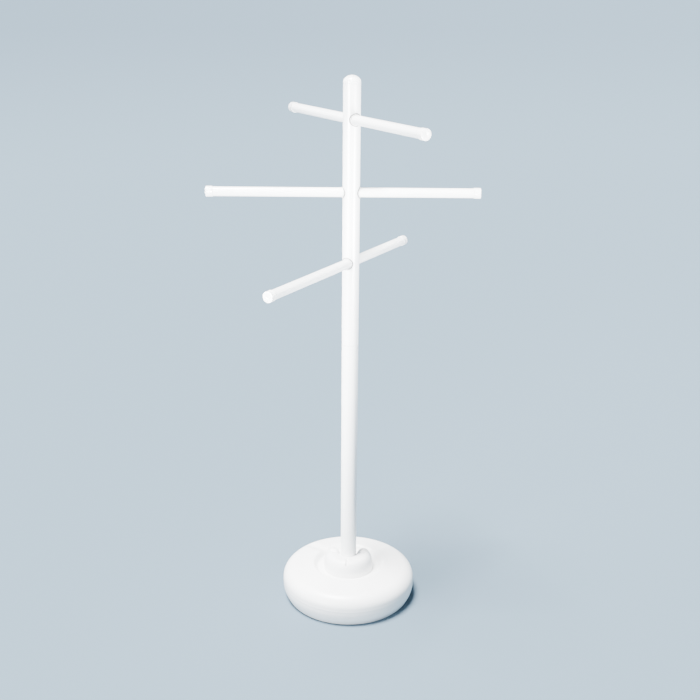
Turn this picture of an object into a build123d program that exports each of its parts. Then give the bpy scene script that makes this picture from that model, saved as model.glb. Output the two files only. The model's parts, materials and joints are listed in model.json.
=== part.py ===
from build123d import *
import os
from math import asin, atan2, cos, degrees, radians, sin, sqrt, tan

# Free-standing towel tree. A round hollow base, filled with water or sand, holds a two-piece
# pole, and three straight arms slide through the pole at different heights and headings.
# Millimetres, +Z up. The origin is on the floor, on the pole's axis. The middle arm runs along X.

# ---- Pipes and their fits ----
pole_outer_radius = 24.15  # 1-1/2 inch pipe
pole_wall = 3.7
arm_outer_radius = 13.35  # 3/4 inch pipe
arm_wall = 2.85
turning_clearance = 0.1  # radial, pole in its socket
sliding_clearance = 0.1  # radial, arm in its bushings
lift_off_clearance = 0.08  # radial, upper pole on the coupling
push_clearance = 0.05  # radial, pieces pushed together and left there
seam_gap = 0.3  # between end faces of pieces that move apart
pipe_chamfer = 0.7

# ---- Base: a blow-moulded tank ----
base_radius = 203.2
base_wall = 3.0
widest_height = 44.0
flank_radius = 70.0  # the side curves in below the widest line
shoulder_radius = 38.0
shoulder_height = 57.0  # centre of the shoulder's arc
crown_slope = 9.2  # degrees
foot_height = 4.0
foot_round = 3.0
standing_ring_width = 46.0
floor_pad_radius = 48.0
underside_recess = 5.0
recess_flank = 7.0
recess_round = 4.0
moat_width = 21.0  # between the hub and the moat's outer wall, at the floor
moat_wall_lean = 10.0  # how much wider the moat is at its lip
moat_lip_round = 10.0
moat_floor_height = 88.0
moat_floor_round = 6.0
channel_azimuths = (45.0, 135.0)  # shallow drains from the moat out over the crown
channel_round = 74.0
channel_depth = 4.0

# ---- Hub: a horseshoe-shaped ring round the pole, open at the back ----
hub_width = 51.75  # from the socket out to the moat
hub_draft = 1.5
hub_crest_reach = 21.75  # from the socket out to the hub's highest line
hub_crest_height = 139.0
hub_crest_round = 8.0
hub_shoulder_drop = 1.5
hub_shoulder_round = 26.0
hub_mouth_height = 134.5
hub_end_azimuth = 20.0  # the other end is its mirror image
socket_floor_height = 12.0
socket_lead_in = 1.2
notch_azimuth = 266.0  # a small groove down the front of the hub
notch_width = 12.0
notch_depth = 3.6
notch_start_angle = 12.0
notch_sweep = 52.0

# ---- Filler neck, gasket and screw cap, behind the pole ----
neck_outer_radius = 17.0
neck_wall = 3.0
neck_rise = 12.0
gasket_thickness = 2.6
gasket_lap = 0.5  # how far the gasket reaches in over the neck's bore
gasket_gap = 0.15
cap_thread_room = 1.6  # between the neck and the cap's skirt
cap_wall = 3.4
cap_top_thickness = 3.5
cap_skirt_gap = 1.5
cap_round = 1.6
cap_flutes = 20
cap_flute_radius = 1.6
cap_flute_stop = 3.0

# ---- Pole ----
lower_pole_length = 801.0
upper_pole_length = 736.4
collar_height = 10.0
coupling_reach = 55.0
coupling_wall = 3.0
coupling_chamfer = 1.2
top_cap_rim = 4.0
top_cap_rise = 17.5
top_cap_corner = 12.0
top_cap_plug = 22.0
top_cap_wall = 2.5

# ---- Arms, from the top down: name, heading, and how far off centre the arm rests ----
arm_places = (
    ("top", -62.0, 0.4),
    ("middle", 0.0, -22.2),
    ("bottom", 61.0, -45.2),
)
arm_length = 762.0  # over its end caps
first_arm_drop = 95.0  # from the pole's top end to the top arm's axis
arm_spacing = 199.0
end_cap_wall = 1.5
end_cap_face = 2.5
end_cap_skirt = 16.5
end_cap_round = 1.0
bushing_wall = 2.15
bushing_flange_width = 2.0
bushing_flange_thickness = 1.8
bushing_depth = 7.0

# ---- Places that follow from the sizes above ----
pole_inner_radius = pole_outer_radius - pole_wall
arm_inner_radius = arm_outer_radius - arm_wall
socket_radius = pole_outer_radius + turning_clearance
hub_outer_radius = socket_radius + hub_width
hub_crest_radius = socket_radius + hub_crest_reach
moat_wall_radius = hub_outer_radius + moat_width
moat_lip_radius = moat_wall_radius + moat_wall_lean
neck_offset = (socket_radius + base_wall + moat_wall_radius) / 2  # midway from socket to moat wall
neck_bore_radius = neck_outer_radius - neck_wall
neck_top = moat_floor_height + neck_rise
gasket_bottom = neck_top + gasket_gap
cap_inner_radius = neck_outer_radius + cap_thread_room
cap_outer_radius = cap_inner_radius + cap_wall
cap_ceiling = gasket_bottom + gasket_thickness + gasket_gap
pole_bottom_height = socket_floor_height + seam_gap
collar_bottom_height = pole_bottom_height + lower_pole_length
collar_top = collar_bottom_height + collar_height
pole_top_height = collar_top + seam_gap + upper_pole_length
bushing_bore_radius = arm_outer_radius + sliding_clearance
bushing_barrel_radius = bushing_bore_radius + bushing_wall
bushing_flange_radius = bushing_barrel_radius + bushing_flange_width
overshoot = 1.0  # how far a cutter or a hidden root runs past a face


def turned(outline, sweep=360.0):
    """Solid of revolution about Z of an outline drawn as (radius, height)."""
    return revolve(Plane.XZ * make_face(outline), axis=Axis.Z, revolution_arc=sweep)


def disc(radius, bottom, top):
    upwards = (Align.CENTER, Align.CENTER, Align.MIN)
    return Pos(0, 0, bottom) * Cylinder(radius, top - bottom, align=upwards)


def pipe(outer, inner, bottom, top, chamfer):
    """Tube along Z with both outer rims chamfered."""
    return turned(
        Polyline(
            (inner, bottom),
            (outer - chamfer, bottom),
            (outer, bottom + chamfer),
            (outer, top - chamfer),
            (outer - chamfer, top),
            (inner, top),
            close=True,
        )
    )


# ---- Base ----
def tank_outline(inset):
    """Half section of the tank without its hub, drawn in by inset all round."""
    slope = radians(crown_slope)
    side_radius = base_radius - inset
    shoulder_centre = base_radius - shoulder_radius
    shoulder = shoulder_radius - inset
    crown_radius = shoulder_centre + shoulder * sin(slope)
    crown_height = shoulder_height + shoulder * cos(slope)
    lip_height = crown_height + (crown_radius - moat_lip_radius) * tan(slope)
    flank_centre = base_radius - flank_radius
    flank = flank_radius - inset
    flank_foot = foot_height + inset
    flank_drop = widest_height - flank_foot
    foot_radius = flank_centre + sqrt(flank**2 - flank_drop**2)
    ring_radius = foot_radius - standing_ring_width
    floor = moat_floor_height - inset
    top = FilletPolyline(
        (crown_radius, crown_height),
        (moat_lip_radius, lip_height),
        (moat_wall_radius + inset, floor),
        (0, floor),
        radius=[moat_lip_round - inset, moat_floor_round + inset],
    )
    underside = FilletPolyline(
        (0, floor),
        (0, inset),
        (floor_pad_radius - inset, inset),
        (floor_pad_radius + recess_flank - inset, underside_recess + inset),
        (ring_radius - recess_flank + inset, underside_recess + inset),
        (ring_radius + inset, inset),
        (foot_radius - foot_height / 2, inset),
        (foot_radius, flank_foot),
        radius=[0, recess_round, recess_round, recess_round, recess_round, foot_round],
    )
    flank_angle = degrees(asin(flank_drop / flank))
    flank_arc = CenterArc((flank_centre, widest_height), flank, -flank_angle, flank_angle)
    side = Line((side_radius, widest_height), (side_radius, shoulder_height))
    shoulder_arc = CenterArc((shoulder_centre, shoulder_height), shoulder, 0, 90 - crown_slope)
    return top + underside + flank_arc + side + shoulder_arc


def hub_section(start_radius, inset):
    """Section of the hub from start_radius out to the moat, drawn in by inset."""
    root = moat_floor_height - base_wall - overshoot
    return FilletPolyline(
        (start_radius, root),
        (start_radius, hub_mouth_height - inset),
        (hub_crest_radius, hub_crest_height - inset),
        (hub_outer_radius - hub_draft - inset, hub_crest_height - hub_shoulder_drop - inset),
        (hub_outer_radius - inset, root),
        radius=[0, 0, hub_crest_round, hub_shoulder_round - inset, 0],
        close=True,
    )


def hub_end_section(inset):
    """Half section of the dome that closes each end of the horseshoe."""
    root = moat_floor_height - base_wall - overshoot
    reach = (hub_outer_radius - socket_radius) / 2 - inset
    return FilletPolyline(
        (0, root),
        (0, hub_crest_height - inset),
        (reach - hub_draft, hub_crest_height - hub_shoulder_drop - inset),
        (reach, root),
        radius=[0, 0, reach - hub_draft - overshoot, 0],
        close=True,
    )


def horseshoe(start_radius, inset):
    """Hub with the domes at its two ends, drawn in by inset."""
    section = hub_section(start_radius, inset)
    hub = Rot(0, 0, 180 - hub_end_azimuth) * turned(section, 180 + 2 * hub_end_azimuth)
    dome = Pos((hub_outer_radius + socket_radius) / 2, 0, 0) * turned(hub_end_section(inset))
    for azimuth in (hub_end_azimuth, 180 - hub_end_azimuth):
        hub += Rot(0, 0, azimuth) * dome
    return hub


def drain_channel(azimuth, inset):
    """Cutter for a shallow channel from the moat out over the crown, grown by inset."""
    slope = radians(crown_slope)
    crown_apex = shoulder_height + shoulder_radius / cos(slope)
    crown_apex += (base_radius - shoulder_radius) * tan(slope)
    rod = Pos(channel_depth - channel_round, 0, moat_wall_radius - channel_depth) * Cylinder(
        channel_round + inset, base_radius, align=(Align.CENTER, Align.CENTER, Align.MIN)
    )
    return Rot(0, 0, azimuth) * Pos(0, 0, crown_apex) * Rot(0, 90 + crown_slope, 0) * rod


def hub_notch(inset):
    """Cutter for the groove that follows the hub's rounded shoulder, grown by inset."""
    centre_radius = hub_outer_radius - hub_draft - hub_shoulder_round
    centre_height = hub_crest_height - hub_shoulder_drop - hub_shoulder_round
    spread = (notch_width / 2 + inset) * (1 + overshoot / (notch_depth + inset))
    groove = Polyline(
        (-spread, hub_shoulder_round + overshoot),
        (spread, hub_shoulder_round + overshoot),
        (0, hub_shoulder_round - notch_depth - inset),
        close=True,
    )
    cutter = Rot(0, notch_start_angle, 0) * revolve(
        Plane.YZ * make_face(groove), axis=Axis.Y, revolution_arc=notch_sweep
    )
    return Rot(0, 0, notch_azimuth) * Pos(centre_radius, 0, centre_height) * cutter


def neck(radius, bottom, top):
    return Pos(0, neck_offset, 0) * disc(radius, bottom, top)


def make_base_tank():
    tank = turned(tank_outline(0)) + horseshoe(socket_radius - base_wall / 2, 0)
    tank += neck(neck_outer_radius, moat_floor_height - base_wall, neck_top)
    hollow = turned(tank_outline(base_wall)) + horseshoe(socket_radius + base_wall, base_wall)
    hollow -= disc(socket_radius + base_wall, 0, hub_crest_height)
    for azimuth in channel_azimuths:
        tank -= drain_channel(azimuth, 0)
        hollow -= drain_channel(azimuth, base_wall)
    tank -= hub_notch(0)
    hollow -= hub_notch(base_wall)
    lead_in = Pos(0, 0, hub_mouth_height - socket_lead_in / 2) * Cone(
        socket_radius, socket_radius + socket_lead_in, socket_lead_in
    )
    tank -= hollow
    tank -= disc(socket_radius, socket_floor_height, hub_crest_height + overshoot)
    tank -= lead_in
    return tank - neck(neck_bore_radius, moat_floor_height - base_wall - overshoot, neck_top + overshoot)


def make_gasket():
    top = gasket_bottom + gasket_thickness
    outer = neck(cap_inner_radius - seam_gap, gasket_bottom, top)
    return outer - neck(neck_bore_radius - gasket_lap, gasket_bottom - overshoot, top + overshoot)


def make_fill_cap():
    bottom = moat_floor_height + cap_skirt_gap
    top = cap_ceiling + cap_top_thickness
    section = FilletPolyline(
        (0, cap_ceiling),
        (cap_inner_radius, cap_ceiling),
        (cap_inner_radius, bottom),
        (cap_outer_radius, bottom),
        (cap_outer_radius, top),
        (0, top),
        radius=[0, 0, 0, 0, cap_round, 0],
        close=True,
    )
    cap = turned(section)
    flute = Pos(cap_outer_radius + cap_flute_radius / 2, 0, 0) * disc(
        cap_flute_radius, bottom - overshoot, top - cap_flute_stop
    )
    for index in range(cap_flutes):
        cap -= Rot(0, 0, index * 360 / cap_flutes) * flute
    return Pos(0, neck_offset, 0) * cap


# ---- Pole ----
def make_coupling():
    inner = pole_inner_radius - push_clearance - coupling_wall
    lower = pole_inner_radius - push_clearance
    upper = pole_inner_radius - lift_off_clearance
    bottom = collar_bottom_height - coupling_reach
    top = collar_top + coupling_reach
    return turned(
        Polyline(
            (inner, bottom),
            (lower - coupling_chamfer, bottom),
            (lower, bottom + coupling_chamfer),
            (lower, collar_bottom_height),
            (pole_outer_radius - pipe_chamfer, collar_bottom_height),
            (pole_outer_radius, collar_bottom_height + pipe_chamfer),
            (pole_outer_radius, collar_top - pipe_chamfer),
            (pole_outer_radius - pipe_chamfer, collar_top),
            (upper, collar_top),
            (upper, top - coupling_chamfer),
            (upper - coupling_chamfer, top),
            (inner, top),
            close=True,
        )
    )


def arm_hole(level, heading):
    """Where an arm crosses the pole's axis, turned to the arm's heading; level 0 is the top arm."""
    return Pos(0, 0, pole_top_height - first_arm_drop - level * arm_spacing) * Rot(0, 0, heading)


def make_upper_pole():
    bottom = collar_top + seam_gap
    pole = pipe(pole_outer_radius, pole_inner_radius, bottom, pole_top_height, pipe_chamfer)
    drill = Rot(0, 90, 0) * Cylinder(bushing_barrel_radius + push_clearance, 4 * pole_outer_radius)
    for level, (_, heading, _) in enumerate(arm_places):
        pole -= arm_hole(level, heading) * drill
    return pole


def dome(radius, rise, corner, base):
    """Outline from the rim up to the axis: a tight corner arc and a flatter crown tangent to it."""
    crown = ((radius - corner) ** 2 + rise**2 - corner**2) / (2 * (rise - corner))
    turn = degrees(atan2(crown - rise, radius - corner))
    corner_arc = CenterArc((radius - corner, base), corner, 0, turn)
    return corner_arc + CenterArc((0, base + rise - crown), crown, turn, 90 - turn)


def make_top_cap():
    plug = pole_inner_radius - push_clearance
    inner = plug - top_cap_wall
    rim_top = pole_top_height + top_cap_rim
    hollow_rise = top_cap_rise - top_cap_wall
    outside = dome(pole_outer_radius, top_cap_rise, top_cap_corner, rim_top)
    hollow = dome(inner, hollow_rise, top_cap_corner - top_cap_wall, rim_top)
    middle = Line((0, rim_top + top_cap_rise), (0, rim_top + hollow_rise))
    rim = Polyline(
        (pole_outer_radius, rim_top),
        (pole_outer_radius, pole_top_height + pipe_chamfer),
        (pole_outer_radius - pipe_chamfer, pole_top_height),
        (plug, pole_top_height),
        (plug, pole_top_height - top_cap_plug + coupling_chamfer),
        (plug - coupling_chamfer, pole_top_height - top_cap_plug),
        (inner, pole_top_height - top_cap_plug),
        (inner, rim_top),
    )
    return turned(outside + middle + hollow + rim)


# ---- Arms, built along Z about their own middle and then laid in place ----
def make_arm_tube():
    reach = arm_length / 2 - end_cap_face
    return pipe(arm_outer_radius, arm_inner_radius, -reach, reach, pipe_chamfer)


def make_end_cap():
    face = arm_length / 2
    inner = arm_outer_radius + push_clearance
    outer = inner + end_cap_wall
    return turned(
        FilletPolyline(
            (inner, face - end_cap_face),
            (inner, face - end_cap_face - end_cap_skirt),
            (outer, face - end_cap_face - end_cap_skirt),
            (outer, face),
            (0, face),
            (0, face - end_cap_face),
            radius=[0, 0, 0, end_cap_round, 0, 0],
            close=True,
        )
    )


def make_bushing():
    """Flanged sleeve for a hole in the pole, on the +X side, with a saddle-shaped flange."""
    saddle = pole_outer_radius + bushing_flange_thickness
    reach = 2 * pole_outer_radius
    outwards = (Align.CENTER, Align.CENTER, Align.MIN)
    flange = Rot(0, 90, 0) * Cylinder(bushing_flange_radius, reach, align=outwards)
    flange &= disc(saddle, -reach, reach)
    flange -= disc(pole_outer_radius + push_clearance, -reach, reach)
    barrel = Rot(0, 90, 0) * Cylinder(bushing_barrel_radius, reach, align=outwards)
    barrel = Pos(pole_outer_radius - bushing_depth, 0, 0) * barrel
    barrel &= disc(saddle, -reach, reach)
    bore = Rot(0, 90, 0) * Cylinder(bushing_bore_radius, 2 * reach)
    return flange + barrel - bore


parts = {
    "base_tank": make_base_tank(),
    "fill_cap_gasket": make_gasket(),
    "fill_cap": make_fill_cap(),
    "pole_lower": pipe(
        pole_outer_radius,
        pole_inner_radius,
        pole_bottom_height,
        collar_bottom_height,
        pipe_chamfer,
    ),
    "pole_coupling": make_coupling(),
    "pole_upper": make_upper_pole(),
    "pole_top_cap": make_top_cap(),
}
for level, (name, heading, offset) in enumerate(arm_places):
    hole = arm_hole(level, heading)
    arm = hole * Pos(offset, 0, 0)
    right = arm * Rot(0, 90, 0)
    left = arm * Rot(0, -90, 0)
    parts[f"arm_{name}_tube"] = right * make_arm_tube()
    parts[f"arm_{name}_cap_right"] = right * make_end_cap()
    parts[f"arm_{name}_cap_left"] = left * make_end_cap()
    parts[f"bushing_{name}_right"] = hole * make_bushing()
    parts[f"bushing_{name}_left"] = hole * Rot(0, 0, 180) * make_bushing()

os.makedirs("parts", exist_ok=True)
for node, solid in parts.items():
    export_step(solid, f"parts/{node}.step")
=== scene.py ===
import json
from math import asin, atan2, cos, degrees, pi, radians, sin, sqrt, tan

import bmesh
import bpy
from mathutils import Matrix, Vector


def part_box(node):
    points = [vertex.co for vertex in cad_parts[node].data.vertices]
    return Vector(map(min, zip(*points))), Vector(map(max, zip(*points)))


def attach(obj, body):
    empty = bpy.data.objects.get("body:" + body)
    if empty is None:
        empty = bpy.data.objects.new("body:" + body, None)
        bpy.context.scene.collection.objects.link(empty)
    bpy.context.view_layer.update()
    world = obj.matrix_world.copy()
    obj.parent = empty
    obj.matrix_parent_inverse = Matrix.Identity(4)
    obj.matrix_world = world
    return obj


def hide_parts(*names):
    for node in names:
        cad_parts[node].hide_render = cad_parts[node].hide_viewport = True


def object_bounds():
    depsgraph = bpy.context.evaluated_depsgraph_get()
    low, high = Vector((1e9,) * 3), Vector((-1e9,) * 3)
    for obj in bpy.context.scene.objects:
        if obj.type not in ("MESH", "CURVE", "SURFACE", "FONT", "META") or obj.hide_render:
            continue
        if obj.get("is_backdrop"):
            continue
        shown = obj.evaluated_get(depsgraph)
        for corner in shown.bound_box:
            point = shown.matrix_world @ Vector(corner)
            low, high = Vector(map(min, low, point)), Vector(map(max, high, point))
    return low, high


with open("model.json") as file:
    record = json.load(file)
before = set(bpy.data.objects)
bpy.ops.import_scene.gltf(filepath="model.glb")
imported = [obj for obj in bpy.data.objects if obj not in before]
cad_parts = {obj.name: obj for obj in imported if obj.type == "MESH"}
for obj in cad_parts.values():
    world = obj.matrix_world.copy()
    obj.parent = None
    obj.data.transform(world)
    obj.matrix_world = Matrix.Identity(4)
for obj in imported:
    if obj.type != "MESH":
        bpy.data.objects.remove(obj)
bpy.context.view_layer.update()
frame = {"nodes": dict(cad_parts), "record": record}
mm = 0.001
scene = bpy.context.scene

# ---- Sizes, in metres: the tank's from its node's box, the rest of its shape in millimetres times mm ----
tank_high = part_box("base_tank")[1]
pole_low, pole_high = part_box("pole_lower")
neck_low, neck_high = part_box("fill_cap_gasket")
tank_radius = tank_high.x
hub_crest = tank_high.z
pole_radius = pole_high.x
neck_centre = Vector(((neck_low.x + neck_high.x) / 2, (neck_low.y + neck_high.y) / 2, 0))

widest_height = 44 * mm
flank_round = 70 * mm
shoulder_round = 38 * mm
shoulder_centre_height = 57 * mm
crown_slope = radians(9.2)
foot_height = 4 * mm
flash_stand = 0.12 * mm  # the parting line's bead stands this far out
flash_height = 50 * mm
standing_ring_width = 46 * mm
floor_pad_radius = 48 * mm
recess_depth = 5 * mm
recess_flank = 7 * mm

socket_radius = pole_radius + 0.1 * mm
socket_floor = pole_low.z - 0.3 * mm
socket_lead_in = 1.2 * mm
tank_wall = 3 * mm
moat_floor = 88 * mm
moat_wall_radius = 97 * mm
moat_wall_lean = 10 * mm
moat_back_lean = 6 * mm  # the wall leans this much more behind the pole
moat_lip_blend = 9 * mm
moat_foot_blend = 6 * mm
hub_radius = 76 * mm
hub_crest_radius = 46 * mm
hub_mouth_drop = 4.5 * mm
hub_ring_radius = (hub_radius + socket_radius) / 2
hub_half_width = (hub_radius - socket_radius) / 2
hub_end = radians(110)  # how far round from the front each horn reaches
hub_front_squareness = 2.9
hub_horn_squareness = 2.35
hub_foot_blend = 5 * mm
horn_end_blend = 3 * mm
horn_side_blend = 4 * mm

notch_azimuth = radians(266)  # a little left of the front
notch_half_width = 5.0 * mm
notch_depth = 6.5 * mm
notch_start = 48 * mm
notch_stop = 69 * mm

channel_azimuths = (radians(45), radians(135))
channel_half_width = 24 * mm
channel_depth = 4 * mm

neck_radius = 17 * mm
neck_bore = 14 * mm
neck_top = 100 * mm


def clamp(value, low=0.0, high=1.0):
    return max(low, min(high, value))


def ease(start, stop, value):
    """0 before start, 1 after stop, and smooth between them; start may be the larger."""
    share = clamp((value - start) / (stop - start))
    return share * share * (3 - 2 * share)


def smooth_min(a, b, blend):
    share = clamp(0.5 + (b - a) / (2 * blend))
    return b + (a - b) * share - blend * share * (1 - share)


def smooth_max(a, b, blend):
    return -smooth_min(-a, -b, blend)


# ---- Materials ----
def add_node(tree, kind, inputs=None, **settings):
    """A node with its settings, and with its inputs set to values or linked to other nodes' sockets."""
    node = tree.nodes.new(kind)
    for key, value in settings.items():
        setattr(node, key, value)
    for key, value in (inputs or {}).items():
        if isinstance(value, bpy.types.NodeSocket):
            tree.links.new(value, node.inputs[key])
        else:
            node.inputs[key].default_value = value
    return node


def plastic(
    name, tint, roughness, grain_scale, grain_depth, streak=None, heading=0.0, scuffs=0.1, gap_shade=None
):
    """Plastic with a fine grain, a slow drift of tone, uneven shine and a few scuffs.
    streak is how far the grain is drawn out along each axis, with X turned to the heading.
    The last argument gives an axis, by a point and a direction, and the radius beyond which a near-black
    ring is painted, standing in for the shade in the gap round a bushing's flange."""
    material = bpy.data.materials.new(name)
    material.use_nodes = True
    tree = material.node_tree
    shader = tree.nodes["Principled BSDF"]
    place = add_node(tree, "ShaderNodeTexCoord").outputs["Object"]
    drawn = place
    if streak:
        turned = {"Vector": place, "Rotation": (0, 0, heading), "Scale": streak}
        drawn = add_node(tree, "ShaderNodeMapping", turned, vector_type="TEXTURE").outputs["Vector"]
    drift = add_node(tree, "ShaderNodeTexNoise", {"Vector": place, "Scale": 7.0, "Detail": 4.0})
    tone = add_node(tree, "ShaderNodeValToRGB", {"Fac": drift.outputs["Fac"]})
    low, high = tone.color_ramp.elements
    low.position, high.position = 0.34, 0.62
    low.color = (*[channel * 0.965 for channel in tint], 1)
    high.color = (*tint, 1)
    mark_sizes = {"Vector": drawn, "Scale": 38.0, "Detail": 8.0, "Distortion": 1.6}
    mark = add_node(tree, "ShaderNodeTexNoise", mark_sizes)
    scuff_range = {"Value": mark.outputs["Fac"], "From Min": 0.6, "From Max": 0.72}
    scuff = add_node(tree, "ShaderNodeMapRange", scuff_range).outputs["Result"]
    dirt = add_node(tree, "ShaderNodeMath", {0: scuff, 1: scuffs}, operation="MULTIPLY").outputs["Value"]
    grey = (*[channel * 0.7 for channel in tint], 1)
    colour = add_node(tree, "ShaderNodeMix", {0: dirt, 6: tone.outputs["Color"], 7: grey}, data_type="RGBA")
    # Painted shade: a near-black ring beyond a radius from the given axis, standing in for the shade in the
    # gap round a bushing's flange.
    if gap_shade:
        point, axis, radius = gap_shade
        offset = add_node(tree, "ShaderNodeVectorMath", {0: place, 1: point}, operation="SUBTRACT")
        crossing = {0: offset.outputs["Vector"], 1: axis}
        crossed = add_node(tree, "ShaderNodeVectorMath", crossing, operation="CROSS_PRODUCT")
        away = add_node(tree, "ShaderNodeVectorMath", {0: crossed.outputs["Vector"]}, operation="LENGTH")
        ring_range = {"Value": away.outputs["Value"], "From Min": radius, "From Max": radius + 0.3 * mm}
        ring = add_node(tree, "ShaderNodeMapRange", ring_range).outputs["Result"]
        # The painted shade's colour: the tint darkened almost to black.
        painted_shade = (*[channel * 0.07 for channel in tint], 1)
        colour = add_node(tree, "ShaderNodeMix", {0: ring, 6: colour.outputs[2], 7: painted_shade}, data_type="RGBA")
    tree.links.new(colour.outputs[2], shader.inputs["Base Color"])
    fine = {"Vector": drawn, "Scale": grain_scale, "Detail": 3.0}
    grain = add_node(tree, "ShaderNodeTexNoise", fine).outputs["Fac"]
    coarse = {"Vector": drawn, "Scale": grain_scale / 7}
    ripple = add_node(tree, "ShaderNodeTexNoise", coarse).outputs["Fac"]
    relief = add_node(tree, "ShaderNodeMath", {0: ripple, 1: 2.5, 2: grain}, operation="MULTIPLY_ADD")
    bump_sizes = {"Height": relief.outputs["Value"], "Strength": 0.5, "Distance": grain_depth}
    bump = add_node(tree, "ShaderNodeBump", bump_sizes)
    tree.links.new(bump.outputs["Normal"], shader.inputs["Normal"])
    shine_range = {"Value": grain, "To Min": roughness * 0.85, "To Max": roughness * 1.15}
    shine = add_node(tree, "ShaderNodeMapRange", shine_range).outputs["Result"]
    dull = add_node(tree, "ShaderNodeMath", {0: dirt, 1: shine}, operation="ADD", use_clamp=True)
    tree.links.new(dull.outputs["Value"], shader.inputs["Roughness"])
    return material


joints = frame["record"]["behaviour"]["joints"]
levels = ("top", "middle", "bottom")


def arm_axis(level):
    """The arm's direction, to its right."""
    return Vector(next(joint["axis"] for joint in joints if joint["name"] == f"arm_{level}_slide"))


white = (0.865, 0.865, 0.858)
drawn_out = 60  # how much longer than wide the marks of extrusion are
materials = {
    "base_white": plastic("base_white", white, 0.36, 240, 0.00012, scuffs=0.14),
    "pipe_white": plastic("pipe_white", white, 0.27, 420, 0.00006, (1, 1, drawn_out)),
    "fitting_white": plastic("fitting_white", (0.875, 0.875, 0.868), 0.24, 300, 0.00005, scuffs=0.05),
    "cap_white": plastic("cap_white", (0.85, 0.85, 0.84), 0.4, 420, 0.00007, scuffs=0.12),
    "gasket_rubber": plastic("gasket_rubber", (0.02, 0.02, 0.021), 0.68, 600, 0.00008, scuffs=0.3),
}
arm_materials = {}
bushing_materials = {}
for level in levels:
    axis = arm_axis(level)
    heading = atan2(axis.y, axis.x)
    low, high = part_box(f"arm_{level}_tube")
    # Each bushing gets a ring of painted shade beyond 15.7 mm from its arm's axis, for the gap where its
    # flange meets the pole.
    gap_shade = ((low + high) / 2, axis, 15.7 * mm)
    bushing_materials[level] = plastic(
        f"bushing_white_{level}", (0.83, 0.83, 0.815), 0.42, 420, 0.00007, scuffs=0.2, gap_shade=gap_shade
    )
    arm_materials[level] = plastic(
        f"pipe_white_{level}", white, 0.27, 420, 0.00006, (drawn_out, 1, 1), heading
    )
slots = {row["node"]: row["material_slot"] for row in frame["record"]["subparts"]}
for name, node in frame["nodes"].items():
    if name.endswith("_tube"):
        paint = arm_materials[name.split("_")[1]]
    elif name.startswith("bushing"):
        paint = bushing_materials[name.split("_")[1]]
    else:
        paint = materials[slots[name]]
    node.data.materials.clear()
    node.data.materials.append(paint)


# ---- The tank's shape ----
shoulder_centre = tank_radius - shoulder_round
crown_edge_radius = shoulder_centre + shoulder_round * sin(crown_slope)
crown_edge_height = shoulder_centre_height + shoulder_round * cos(crown_slope)
lip_height = crown_edge_height + (crown_edge_radius - moat_wall_radius - moat_wall_lean) * tan(crown_slope)


def dish_height(radius, back, inset):
    """Crown and moat without the hub. back is 1 behind the pole and 0 in front."""
    lean = moat_wall_lean + moat_back_lean * back
    crown = crown_edge_height + (crown_edge_radius - radius) * tan(crown_slope)
    wall = moat_floor + (radius - moat_wall_radius - inset) * (lip_height - moat_floor) / lean
    moat = smooth_max(moat_floor, wall, moat_foot_blend)
    return smooth_min(crown, moat, moat_lip_blend) - inset


def hub_height(x, y, radius, turn, inset):
    """Horseshoe-shaped hub. turn is the angle from the front, either way."""
    horn = Vector((hub_ring_radius * sin(hub_end), -hub_ring_radius * cos(hub_end)))
    inside_horn = hub_half_width - (Vector((abs(x), y)) - horn).length
    inside_ring = hub_radius - radius
    if turn > radians(20):
        inside_ring = smooth_min(inside_ring, radius * sin(hub_end - turn), horn_side_blend)
    inside = smooth_max(inside_ring, inside_horn, horn_end_blend) - inset
    front = ease(hub_end, pi / 2.6, turn)
    squareness = hub_horn_squareness + (hub_front_squareness - hub_horn_squareness) * front
    notch = notch_share(x, y, radius)
    inside -= 0.6 * notch_depth * notch
    rise = hub_crest - moat_floor - inset
    if inside <= 0:
        return moat_floor + inside * 8
    share = clamp(inside / hub_half_width)
    height = moat_floor + rise * (1 - (1 - share) ** squareness) ** (1 / squareness)
    mouth = ease(hub_crest_radius, socket_radius, radius) * front
    return height - hub_mouth_drop * mouth - 0.8 * notch_depth * notch


def notch_share(x, y, radius):
    """How deep the notch is at a point, from 0 to 1."""
    across = abs(x * sin(notch_azimuth) - y * cos(notch_azimuth))
    if y > 0 or across > notch_half_width:
        return 0.0
    run_in = ease(notch_start - 5 * mm, notch_start + 3 * mm, radius)
    run_out = ease(notch_stop + 1 * mm, notch_stop, radius)
    return (1 - across / notch_half_width) * run_in * run_out


def channel_drop(x, y, radius):
    """Depth of the drain channels at a point."""
    drop = 0.0
    for azimuth in channel_azimuths:
        along = x * cos(azimuth) + y * sin(azimuth)
        across = abs(y * cos(azimuth) - x * sin(azimuth))
        if along > 0 and across < channel_half_width:
            fade = ease(moat_wall_radius, moat_wall_radius + 10 * mm, radius)
            fade *= ease(tank_radius - 12 * mm, crown_edge_radius - 6 * mm, radius)
            drop += channel_depth * fade * 0.5 * (1 + cos(pi * across / channel_half_width))
    return drop


def top_height(radius, azimuth, inset):
    x, y = radius * cos(azimuth), radius * sin(azimuth)
    turn = abs(atan2(x, -y))
    back = ease(pi / 2, pi, turn)
    dish = dish_height(radius, back, inset)
    if radius < hub_radius + 25 * mm:
        dish = smooth_max(dish, hub_height(x, y, radius, turn, inset), hub_foot_blend)
    return dish - channel_drop(x, y, radius)


def arc(centre, radius, start, stop, steps):
    """Points (radius, height) along an arc, both ends included; angles in degrees."""
    turns = [radians(start + (stop - start) * step / steps) for step in range(steps + 1)]
    return [(centre[0] + radius * cos(turn), centre[1] + radius * sin(turn)) for turn in turns]


def spread(start, stop, step):
    count = max(1, round(abs(stop - start) / step))
    return [start + (stop - start) * index / count for index in range(count + 1)]


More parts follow.
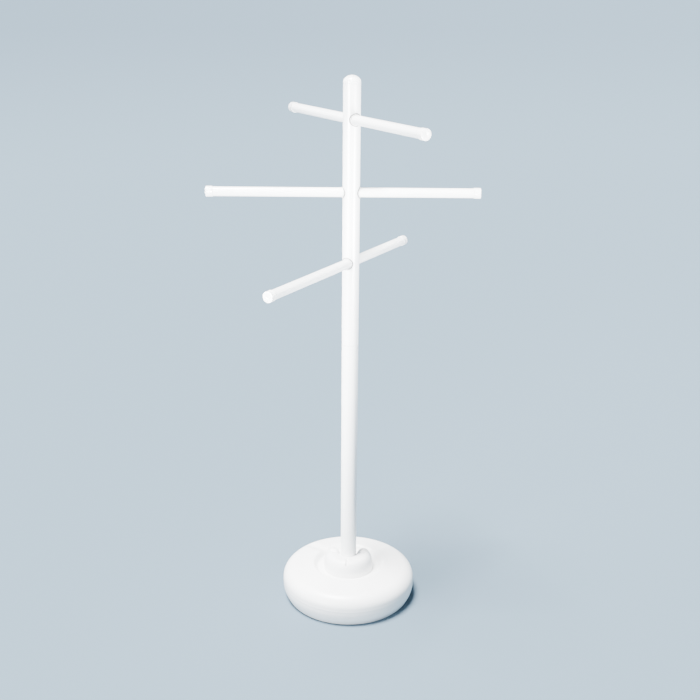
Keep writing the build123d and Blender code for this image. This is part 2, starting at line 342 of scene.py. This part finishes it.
def side_outline(inset, steps):
    """From the crown's edge out over the shoulder, down the side and in under the foot."""
    side = tank_radius - flash_stand - inset
    middle = (shoulder_centre, shoulder_centre_height)
    shoulder = arc(middle, shoulder_round - inset, 90 - degrees(crown_slope), 0, steps)
    shoulder = [(radius - flash_stand, height) for radius, height in shoulder[1:]]
    bead = flash_stand if inset == 0 else 0
    flash = [
        (side, flash_height + 1 * mm),
        (side + bead, flash_height + 0.35 * mm),
        (side + bead, flash_height - 0.35 * mm),
        (side, flash_height - 1 * mm),
    ]
    drop = widest_height - foot_height - inset
    flank_angle = degrees(asin(drop / (flank_round - inset)))
    flank = arc((side - flank_round + inset, widest_height), flank_round - inset, 0, -flank_angle, steps)
    foot_radius = flank[-1][0]
    heel = [(foot_radius - 0.6 * mm, foot_height * 0.4 + inset), (foot_radius - 2.2 * mm, inset)]
    ring = foot_radius - standing_ring_width
    flat = [(radius, inset) for radius in spread(foot_radius - 5 * mm, ring + 2 * mm + inset, 13 * mm)]
    return shoulder + flash + flank + heel + flat, ring


def underside_outline(inset, ring):
    """From the standing ring in to the middle pad, over the recess."""
    outline = []
    outer = ring + inset
    inner = floor_pad_radius - inset
    for radius in spread(outer, outer - recess_flank, 1 * mm):
        outline.append((radius, inset + recess_depth * ease(outer, outer - recess_flank, radius)))
    for radius in spread(outer - recess_flank - 8 * mm, inner + recess_flank + 8 * mm, 8 * mm):
        outline.append((radius, inset + recess_depth))
    for radius in spread(inner + recess_flank, inner, 1 * mm):
        outline.append((radius, inset + recess_depth * ease(inner, inner + recess_flank, radius)))
    return outline


def add_ring(bm, radius, height_at, columns):
    ring = []
    for column in range(columns):
        azimuth = 2 * pi * column / columns
        ring.append(bm.verts.new((radius * cos(azimuth), radius * sin(azimuth), height_at(azimuth))))
    return ring


def join_rings(bm, lower, upper):
    """Quads between two rings of as many points."""
    count = len(lower)
    for index in range(count):
        after = (index + 1) % count
        bm.faces.new((lower[index], lower[after], upper[after], upper[index]))


def cap_ring(bm, ring, centre):
    middle = bm.verts.new(centre)
    count = len(ring)
    for index in range(count):
        bm.faces.new((ring[index], ring[(index + 1) % count], middle))


def shell_rings(bm, inset, columns, radii, steps):
    """Rings over the top from the pole outwards, then down the side and in under the foot."""
    rings = []
    for radius in radii:
        rings.append(add_ring(bm, radius, lambda azimuth: top_height(radius, azimuth, inset), columns))
    side, ring = side_outline(inset, steps)
    for radius, height in side + underside_outline(inset, ring):

        def height_at(azimuth):
            drop = channel_drop(radius * cos(azimuth), radius * sin(azimuth), radius)
            return height - (drop if height > shoulder_centre_height else 0)

        rings.append(add_ring(bm, radius, height_at, columns))
    return rings


def open_hole(bm, rings, radius):
    """Opens a round hole in the moat's floor at the filler neck and returns its edge, in order."""
    near = set()
    for ring in rings:
        for vert in ring:
            if (vert.co.xy - neck_centre.xy).length < radius and vert.co.z > moat_floor - 10 * mm:
                near.add(vert)
    faces_near = {face for vert in near for face in vert.link_faces}
    edge = {vert for face in faces_near for vert in face.verts} - near
    bmesh.ops.delete(bm, geom=list(near), context="VERTS")
    ordered = sorted(edge, key=lambda vert: atan2(vert.co.y - neck_centre.y, vert.co.x - neck_centre.x))
    for vert in ordered:
        away = vert.co.xy - neck_centre.xy
        away = away.normalized() * radius
        vert.co.x, vert.co.y = neck_centre.x + away.x, neck_centre.y + away.y
    return ordered


def neck_rings(bm, edge, outline):
    """Carries the hole's edge on along an outline of (radius, height) about the neck's axis."""
    turns = [atan2(vert.co.y - neck_centre.y, vert.co.x - neck_centre.x) for vert in edge]
    last = edge
    for radius, height in outline:
        ring = [
            bm.verts.new((neck_centre.x + radius * cos(turn), neck_centre.y + radius * sin(turn), height))
            for turn in turns
        ]
        join_rings(bm, last, ring)
        last = ring
    return last


def make_tank():
    bm = bmesh.new()
    outer_columns, inner_columns = 384, 192
    rim = socket_radius + socket_lead_in
    radii = spread(rim, hub_radius - 3 * mm, 1.05 * mm)
    radii += spread(hub_radius - 2.5 * mm, hub_radius + 2 * mm, 0.45 * mm)
    radii += spread(hub_radius + 3 * mm, moat_wall_radius + 22 * mm, 1.3 * mm)
    radii += spread(moat_wall_radius + 26 * mm, crown_edge_radius, 5 * mm)
    rings = shell_rings(bm, 0, outer_columns, radii, 12)
    for lower, upper in zip(rings, rings[1:]):
        join_rings(bm, lower, upper)
    cap_ring(bm, rings[-1], (0, 0, 0))

    def mouth_height(azimuth):
        return top_height(rim, azimuth, 0) - socket_lead_in

    mouth = add_ring(bm, socket_radius, mouth_height, outer_columns)
    join_rings(bm, mouth, rings[0])
    bottom = add_ring(bm, socket_radius, lambda azimuth: socket_floor, outer_columns)
    join_rings(bm, bottom, mouth)
    centre = bm.verts.new((0, 0, socket_floor))
    for index in range(outer_columns):
        bm.faces.new((bottom[(index + 1) % outer_columns], bottom[index], centre))
    outer_edge = open_hole(bm, rings, neck_radius + 3 * mm)
    outline = [
        (neck_radius + 1.4 * mm, moat_floor + 0.4 * mm),
        (neck_radius + 0.4 * mm, moat_floor + 1.4 * mm),
        (neck_radius, moat_floor + 3 * mm),
        (neck_radius, neck_top - 0.6 * mm),
        (neck_radius - 0.2 * mm, neck_top - 0.2 * mm),
        (neck_radius - 0.6 * mm, neck_top),
        (neck_bore + 0.6 * mm, neck_top),
        (neck_bore + 0.2 * mm, neck_top - 0.2 * mm),
        (neck_bore, neck_top - 0.6 * mm),
        (neck_bore, moat_floor - tank_wall + 1 * mm),
        (neck_bore + 0.4 * mm, moat_floor - tank_wall + 0.2 * mm),
    ]
    bore_end = neck_rings(bm, outer_edge, outline)

    inner_radii = spread(socket_radius + tank_wall, hub_radius - 2 * mm, 2.2 * mm)
    inner_radii += spread(hub_radius, moat_wall_radius + 20 * mm, 3 * mm)
    inner_radii += spread(moat_wall_radius + 28 * mm, crown_edge_radius - 1 * mm, 12 * mm)
    inner = shell_rings(bm, tank_wall, inner_columns, inner_radii, 7)
    for lower, upper in zip(inner, inner[1:]):
        join_rings(bm, upper, lower)
    foot = add_ring(bm, socket_radius + tank_wall, lambda azimuth: tank_wall, inner_columns)
    join_rings(bm, foot, inner[-1])
    join_rings(bm, inner[0], foot)
    inner_edge = open_hole(bm, inner, neck_bore + 3 * mm)
    ends = []
    for loop in (bore_end, inner_edge):
        ends += [bm.edges.get(pair) for pair in zip(loop, loop[1:] + loop[:1])]
    bmesh.ops.bridge_loops(bm, edges=[edge for edge in ends if edge])
    bmesh.ops.recalc_face_normals(bm, faces=bm.faces)
    return bm


def lathe(bm, outline, columns, point_at):
    """Turns an outline of (radius, along) about an axis.
    One that starts on the axis ends on it, and any other is joined end to end."""
    rings = []
    for radius, along in outline:
        turns = [2 * pi * column / columns for column in range(columns)] if radius > 0 else [0]
        rings.append([bm.verts.new(point_at(radius, along, turn)) for turn in turns])
    pairs = list(zip(rings, rings[1:]))
    if outline[0][0] > 0:
        pairs.append((rings[-1], rings[0]))
    for first, second in pairs:
        for index in range(columns):
            after = (index + 1) % columns
            round_quad = ((first, index), (first, after), (second, after), (second, index))
            corners = [ring[place % len(ring)] for ring, place in round_quad]
            bm.faces.new(list(dict.fromkeys(corners)))
    bmesh.ops.recalc_face_normals(bm, faces=bm.faces)
    return bm


def link_piece(mesh, name, body, hides=None):
    """Puts a mesh in the scene as a piece of a body, in place of the CAD node it stands for, if any."""
    piece = bpy.data.objects.new(name, mesh)
    scene.collection.objects.link(piece)
    if hides:
        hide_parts(hides)
    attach(piece, body)


crease_angle = radians(38)


def finish_mesh(bm, name, body, hides):
    """Shades a mesh smooth but for its creases and gives it the material of the CAD node it stands for."""
    for face in bm.faces:
        face.smooth = True
    for edge in bm.edges:
        if edge.is_manifold and edge.calc_face_angle(0) > crease_angle:
            edge.smooth = False
    mesh = bpy.data.meshes.new(name)
    bm.to_mesh(mesh)
    bm.free()
    mesh.materials.append(frame["nodes"][hides].data.materials[0])
    link_piece(mesh, name, body, hides)


finish_mesh(make_tank(), "base_shell", "base", "base_tank")


# ---- Bushings and end caps, shaped along their arm's own axis ----
def arm_frame(level):
    """The middle of the arm, its direction to the right and the direction across it."""
    low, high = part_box(f"arm_{level}_tube")
    axis = arm_axis(level)
    return (low + high) / 2, axis, axis.cross(Vector((0, 0, 1)))


bushing_bore = 13.45 * mm
bushing_barrel = 15.6 * mm
bushing_flange = 17.6 * mm
bushing_inner_end = pole_radius - 7 * mm
# (radius, place): a place over 0 is the height over the pole's surface; from 0 to -1 it is
# the share of the way down from that surface to the flat inner end.
bushing_outline = [
    (bushing_bore + 0.3 * mm, -1),
    (bushing_barrel - 0.5 * mm, -1),
    (bushing_barrel - 0.15 * mm, -0.9),
    (bushing_barrel, -0.7),
    (bushing_barrel, 0.05 * mm),
    (bushing_flange, 0.05 * mm),
    (bushing_flange, 1.3 * mm),
    (bushing_flange - 0.2 * mm, 1.5 * mm),
    (bushing_flange - 0.45 * mm, 1.4 * mm),
    (bushing_flange - 0.55 * mm, 0.4 * mm),
    (bushing_flange - 1.75 * mm, 0.4 * mm),
    (bushing_flange - 1.85 * mm, 1.5 * mm),
    (bushing_flange - 2.15 * mm, 1.8 * mm),
    (bushing_bore + 1.3 * mm, 1.8 * mm),
    (bushing_bore + 1.0 * mm, 1.6 * mm),
    (bushing_bore + 0.15 * mm, 0.2 * mm),
    (bushing_bore, -0.1),
    (bushing_bore, -0.92),
]


def make_bushing(level, side):
    centre, axis, across = arm_frame(level)
    middle = Vector((0, 0, centre.z))

    def point_at(radius, place, turn):
        sideways, up = radius * cos(turn), radius * sin(turn)
        out = sqrt((pole_radius + max(place, 0)) ** 2 - sideways**2)
        if place < 0:
            out += place * (out - bushing_inner_end)
        return middle + axis * (side * out) + across * sideways + Vector((0, 0, up))

    return lathe(bmesh.new(), bushing_outline, 72, point_at)


# An end cap's outline is (radius, distance from the middle of the arm).
cap_inner, cap_outer = 13.4 * mm, 14.9 * mm
cap_face, cap_mouth = 381 * mm, 362 * mm
cap_edge_round = 1.5 * mm
cap_face_wall = 2.5 * mm
gate_depth = 0.15 * mm  # the small round mark in the middle of the face
cap_outline = [(0, cap_face - gate_depth), (1.2 * mm, cap_face - gate_depth), (1.5 * mm, cap_face)]
cap_outline += arc((cap_outer - cap_edge_round, cap_face - cap_edge_round), cap_edge_round, 90, 0, 5)
cap_outline += [
    (cap_outer - 0.12 * mm, cap_mouth + 1.4 * mm),
    (cap_outer, cap_mouth + 1.2 * mm),
    (cap_outer, cap_mouth + 0.3 * mm),
    (cap_outer - 0.3 * mm, cap_mouth),
    (cap_inner + 0.3 * mm, cap_mouth),
    (cap_inner, cap_mouth + 0.4 * mm),
    (cap_inner, cap_face - cap_face_wall),
    (0, cap_face - cap_face_wall),
]


def make_end_cap(level, side):
    centre, axis, across = arm_frame(level)

    def point_at(radius, along, turn):
        on_axis = centre + axis * (side * along)
        return on_axis + across * (radius * cos(turn)) + Vector((0, 0, radius * sin(turn)))

    return lathe(bmesh.new(), cap_outline, 64, point_at)


for level in levels:
    for side_name, side in (("right", 1), ("left", -1)):
        node = f"bushing_{level}_{side_name}"
        finish_mesh(make_bushing(level, side), f"{node}_detail", "upper_pole", node)
        node = f"arm_{level}_cap_{side_name}"
        finish_mesh(make_end_cap(level, side), f"{node}_detail", f"arm_{level}", node)


# ---- Fill cap: a lathed body, with its grip ribs and the neck's thread grown by Geometry Nodes ----
cap_low, cap_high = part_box("fill_cap")
cap_radius = (cap_high.x - cap_low.x) / 2
cap_bore = cap_radius - 3.4 * mm
cap_top = cap_high.z
cap_ceiling = cap_top - 3.5 * mm
cap_top_round = 1.6 * mm
dish_depth = 0.75 * mm  # of the shallow round dish in the cap's top
rib_height = 0.8 * mm
rim_bottom = cap_top - 3 * mm
cap_body_outline = [
    (0, cap_top - 0.5 * mm),
    (1.4 * mm, cap_top - 0.5 * mm),
    (1.8 * mm, cap_top - dish_depth),
    (14.2 * mm, cap_top - dish_depth),
    (14.8 * mm, cap_top - 0.2 * mm),
    (15.3 * mm, cap_top),
]
cap_body_outline += arc((cap_radius - cap_top_round, cap_top - cap_top_round), cap_top_round, 90, 0, 6)
cap_body_outline += [
    (cap_radius, rim_bottom + 0.3 * mm),
    (cap_radius - 0.2 * mm, rim_bottom),
    (cap_radius - rib_height, rim_bottom - 0.3 * mm),
    (cap_radius - rib_height, cap_low.z + 0.5 * mm),
    (cap_radius - rib_height - 0.4 * mm, cap_low.z),
    (cap_bore + 0.5 * mm, cap_low.z),
    (cap_bore, cap_low.z + 0.6 * mm),
    (cap_bore, cap_ceiling),
    (0, cap_ceiling),
]


def around_neck(radius, height, turn):
    return Vector((neck_centre.x + radius * cos(turn), neck_centre.y + radius * sin(turn), height))


fill_cap_mesh = lathe(bmesh.new(), cap_body_outline, 120, around_neck)
finish_mesh(fill_cap_mesh, "fill_cap_body", "fill_cap", "fill_cap")


def new_tree(name, sizes):
    """A Geometry Nodes tree with one named input for each size; gives the tree and its inputs' sockets."""
    tree = bpy.data.node_groups.new(name, "GeometryNodeTree")
    for label, value in sizes.items():
        kind = "NodeSocketInt" if isinstance(value, int) else "NodeSocketFloat"
        tree.interface.new_socket(label, in_out="INPUT", socket_type=kind)
    tree.interface.new_socket("Geometry", in_out="OUTPUT", socket_type="NodeSocketGeometry")
    return tree, tree.nodes.new("NodeGroupInput").outputs


def math_node(tree, operation, first, second):
    return add_node(tree, "ShaderNodeMath", {0: first, 1: second}, operation=operation).outputs["Value"]


def grow(name, tree, last, sizes, slot_name, body):
    """Ends the tree, runs it with its sizes and keeps the result as a plain mesh."""
    smooth = add_node(tree, "GeometryNodeSetShadeSmooth", {"Geometry": last})
    solid = add_node(tree, "GeometryNodeRealizeInstances", {"Geometry": smooth.outputs["Geometry"]})
    painted = {"Geometry": solid.outputs["Geometry"], "Material": materials[slot_name]}
    paint = add_node(tree, "GeometryNodeSetMaterial", painted)
    add_node(tree, "NodeGroupOutput", {"Geometry": paint.outputs["Geometry"]})
    host = bpy.data.objects.new(f"{name}_host", bpy.data.meshes.new(f"{name}_host"))
    scene.collection.objects.link(host)
    modifier = host.modifiers.new(name, "NODES")
    modifier.node_group = tree
    for item in tree.interface.items_tree:
        if item.in_out == "INPUT":
            modifier[item.identifier] = sizes[item.name]
    mesh = bpy.data.meshes.new_from_object(host.evaluated_get(bpy.context.evaluated_depsgraph_get()))
    mesh.materials.clear()
    mesh.materials.append(materials[slot_name])
    host.modifiers.remove(modifier)
    bpy.data.objects.remove(host)
    link_piece(mesh, name, body)


def grow_thread():
    """A rounded ridge that climbs round the filler neck and runs out at both ends."""
    sizes = {"Radius": neck_radius, "Pitch": 4.5 * mm, "Turns": 1.45, "Ridge": 1.1 * mm}
    sizes.update({"Start": 91.3 * mm, "Y": neck_centre.y})
    tree, size = new_tree("neck_thread", sizes)
    climb = math_node(tree, "MULTIPLY", size["Turns"], size["Pitch"])
    path = {"Resolution": 96, "Rotations": size["Turns"], "Height": climb}
    path.update({"Start Radius": size["Radius"], "End Radius": size["Radius"]})
    spiral = add_node(tree, "GeometryNodeCurveSpiral", path).outputs["Curve"]
    factor = add_node(tree, "GeometryNodeSplineParameter").outputs["Factor"]
    run_out = 9.0  # each end runs out over a ninth of the thread
    rise = math_node(tree, "MULTIPLY", factor, run_out)
    fall = math_node(tree, "MULTIPLY", math_node(tree, "SUBTRACT", 1.0, factor), run_out)
    share = math_node(tree, "MINIMUM", math_node(tree, "MINIMUM", rise, fall), 1.0)
    share = math_node(tree, "MAXIMUM", share, 0.15)
    section = {"Resolution": 10, "Radius": size["Ridge"]}
    ridge = add_node(tree, "GeometryNodeCurvePrimitiveCircle", section).outputs["Curve"]
    swept = {"Curve": spiral, "Profile Curve": ridge, "Scale": share, "Fill Caps": True}
    thread = add_node(tree, "GeometryNodeCurveToMesh", swept).outputs["Mesh"]
    shift = add_node(tree, "ShaderNodeCombineXYZ", {"Y": size["Y"], "Z": size["Start"]}).outputs["Vector"]
    placed = add_node(tree, "GeometryNodeTransform", {"Geometry": thread, "Translation": shift})
    grow("neck_thread", tree, placed.outputs["Geometry"], sizes, "base_white", "base")


def grow_ribs():
    """Upright rounded ribs, all round the fill cap, that fill out its side to the rim's radius."""
    sizes = {"Ribs": 20, "Radius": cap_radius - rib_height, "Depth": rib_height, "Width": 4.1 * mm}
    sizes.update({"Bottom": cap_low.z + 0.3 * mm, "Top": rim_bottom + 0.5 * mm, "Y": neck_centre.y})
    tree, size = new_tree("cap_ribs", sizes)
    foot = add_node(tree, "ShaderNodeCombineXYZ", {"Z": size["Bottom"]}).outputs["Vector"]
    head = add_node(tree, "ShaderNodeCombineXYZ", {"Z": size["Top"]}).outputs["Vector"]
    line = add_node(tree, "GeometryNodeCurvePrimitiveLine", {"Start": foot, "End": head}).outputs["Curve"]
    circle = add_node(tree, "GeometryNodeCurvePrimitiveCircle", {"Resolution": 20, "Radius": 1.0})
    half_width = math_node(tree, "MULTIPLY", size["Width"], 0.5)
    flat = add_node(tree, "ShaderNodeCombineXYZ", {"X": size["Depth"], "Y": half_width, "Z": 1.0})
    flattened = {"Geometry": circle.outputs["Curve"], "Scale": flat.outputs["Vector"]}
    section = add_node(tree, "GeometryNodeTransform", flattened).outputs["Geometry"]
    swept = {"Curve": line, "Profile Curve": section, "Fill Caps": True}
    rib = add_node(tree, "GeometryNodeCurveToMesh", swept).outputs["Mesh"]
    ring = add_node(tree, "GeometryNodeMeshCircle", {"Vertices": size["Ribs"], "Radius": size["Radius"]})
    outward = add_node(tree, "GeometryNodeInputPosition").outputs["Position"]
    turning = {"Vector": outward}
    facing = add_node(tree, "FunctionNodeAlignRotationToVector", turning, axis="X", pivot_axis="Z")
    copies = {"Points": ring.outputs["Mesh"], "Instance": rib, "Rotation": facing.outputs["Rotation"]}
    ribs = add_node(tree, "GeometryNodeInstanceOnPoints", copies).outputs["Instances"]
    shift = add_node(tree, "ShaderNodeCombineXYZ", {"Y": size["Y"]}).outputs["Vector"]
    placed = add_node(tree, "GeometryNodeTransform", {"Geometry": ribs, "Translation": shift})
    grow("cap_ribs", tree, placed.outputs["Geometry"], sizes, "cap_white", "fill_cap")


grow_thread()
grow_ribs()

# ---- Stage: a round floor whose far edge curls up into a wide slope, so no horizon shows from any side ----
def make_floor():
    bm = bmesh.new()
    columns = 96
    flat_radius, curl_round, slope, rim = 9.0, 6.0, 40, 26.0
    outline = [(radius, 0.0) for radius in (1.0, 3.0, 6.0, flat_radius)]
    outline += arc((flat_radius, curl_round), curl_round, -90, slope - 90, 8)[1:]
    slope_start, slope_low = outline[-1]
    outline.append((rim, slope_low + (rim - slope_start) * tan(radians(slope))))
    rings = [add_ring(bm, radius, lambda azimuth: height, columns) for radius, height in outline]
    for lower, upper in zip(rings, rings[1:]):
        join_rings(bm, lower, upper)
    cap_ring(bm, rings[0], (0, 0, 0))
    bmesh.ops.recalc_face_normals(bm, faces=bm.faces)
    if bm.faces[0].normal.z < 0:
        bmesh.ops.reverse_faces(bm, faces=bm.faces)
    for face in bm.faces:
        face.smooth = True
    mesh = bpy.data.meshes.new("floor")
    bm.to_mesh(mesh)
    bm.free()
    floor = bpy.data.objects.new("floor", mesh)
    scene.collection.objects.link(floor)
    paint = bpy.data.materials.new("floor_paint")
    paint.use_nodes = True
    shader = paint.node_tree.nodes["Principled BSDF"]
    shader.inputs["Base Color"].default_value = (0.1, 0.143, 0.182, 1)
    shader.inputs["Roughness"].default_value = 0.95
    shader.inputs["Specular IOR Level"].default_value = 0.1
    mesh.materials.append(paint)
    return floor


make_floor()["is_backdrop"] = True

world = bpy.data.worlds.new("world")
scene.world = world
world.use_nodes = True
sky = world.node_tree.nodes["Background"]
sky.inputs["Color"].default_value = (0.93, 0.96, 1.0, 1)
sky.inputs["Strength"].default_value = 0.3


def outwards(azimuth, elevation):
    """Direction towards a light; azimuth 0 is in front and 90 at the right."""
    turn, rise = radians(azimuth), radians(elevation)
    return Vector((sin(turn) * cos(rise), -cos(turn) * cos(rise), sin(rise)))


def add_light(name, lamp, place, towards):
    light = bpy.data.objects.new(name, lamp)
    scene.collection.objects.link(light)
    light.location = place
    light.rotation_mode = "QUATERNION"
    light.rotation_quaternion = towards.to_track_quat("Z", "Y")


def ceiling_light(name, azimuth, elevation, strength, spread_angle):
    """A wide soft light so far away that it lights the whole floor alike."""
    lamp = bpy.data.lights.new(name, "SUN")
    lamp.energy = strength
    lamp.angle = radians(spread_angle)
    out = outwards(azimuth, elevation)
    add_light(name, lamp, out * 10, out)


def softbox(name, target, azimuth, elevation, distance, width, height, power, beam):
    """Upright area light that points at a target; beam is how wide its grid lets it shine, in degrees."""
    lamp = bpy.data.lights.new(name, "AREA")
    lamp.shape = "RECTANGLE"
    lamp.size = width
    lamp.size_y = height
    lamp.energy = power
    lamp.spread = radians(beam)
    out = outwards(azimuth, elevation)
    add_light(name, lamp, Vector(target) + out * distance, out)


ceiling_light("ceiling", azimuth=-68, elevation=77, strength=29, spread_angle=20)
pole_middle, arms_middle = (0, 0, 0.98), (0, 0, 1.4)
softbox("key", pole_middle, -40, 2, distance=2.4, width=0.8, height=1.2, power=42, beam=38)
softbox("fill", arms_middle, 42, -14, distance=2.4, width=0.8, height=0.8, power=24, beam=36)

# ---- Camera ----
camera_data = bpy.data.cameras.new("camera")
camera_data.sensor_width = 36
camera_data.lens = 52.618
camera = bpy.data.objects.new("camera", camera_data)
scene.collection.objects.link(camera)
camera_distance, camera_height = 2.8273, 1.7618
pitch, roll = 0.3265, 0.0079
place = Matrix.Translation((0, -camera_distance, camera_height))
camera.matrix_world = place @ Matrix.Rotation(pi / 2 - pitch, 4, "X") @ Matrix.Rotation(roll, 4, "Z")
scene.camera = camera

low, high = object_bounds()
